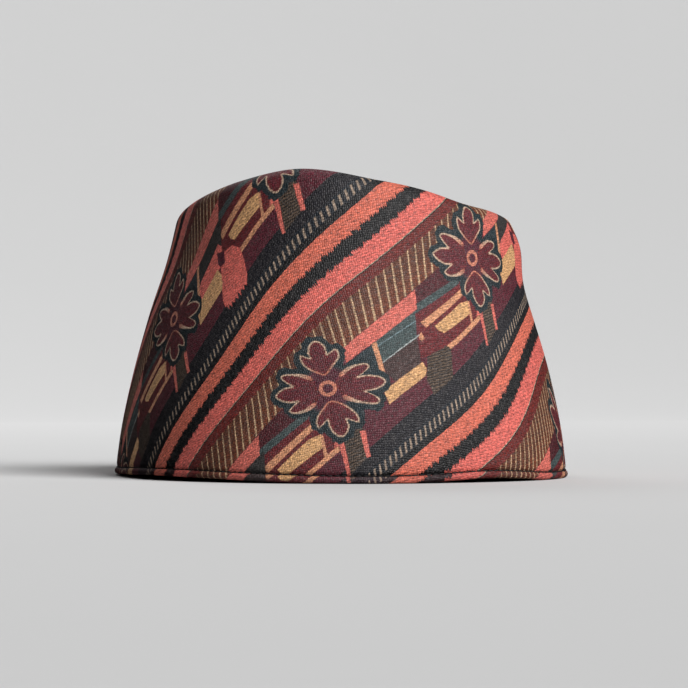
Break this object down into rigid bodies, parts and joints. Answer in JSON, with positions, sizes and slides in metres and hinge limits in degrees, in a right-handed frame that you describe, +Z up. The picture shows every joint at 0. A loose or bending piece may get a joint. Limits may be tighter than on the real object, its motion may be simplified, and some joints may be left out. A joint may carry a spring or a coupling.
{
  "type": "dhaka topi cap",
  "caption": "Brimless cap of patterned woven cloth with a tall leaning side wall, a soft off-centre peak, a sunken crown and a turned hem, worn on the head.",
  "frame": {"origin": "on the surface that the rim stands on, under the middle of the cap", "axes": "+Z up, +Y from the front of the cap to its back, +X to the viewer's right when the front faces the viewer"},
  "size_m": [0.1641, 0.1989, 0.1097],
  "materials": {
    "wall_cloth": "matt patterned weave in coral, plum, near-black teal, rust and mustard",
    "crown_cloth": "the same matt patterned weave",
    "hem_cloth": "the same matt patterned weave, turned under and stitched"
  },
  "bodies": {
    "root": {"wall": "wall_cloth", "crown": "crown_cloth", "hem": "hem_cloth"}
  },
  "joints": []
}
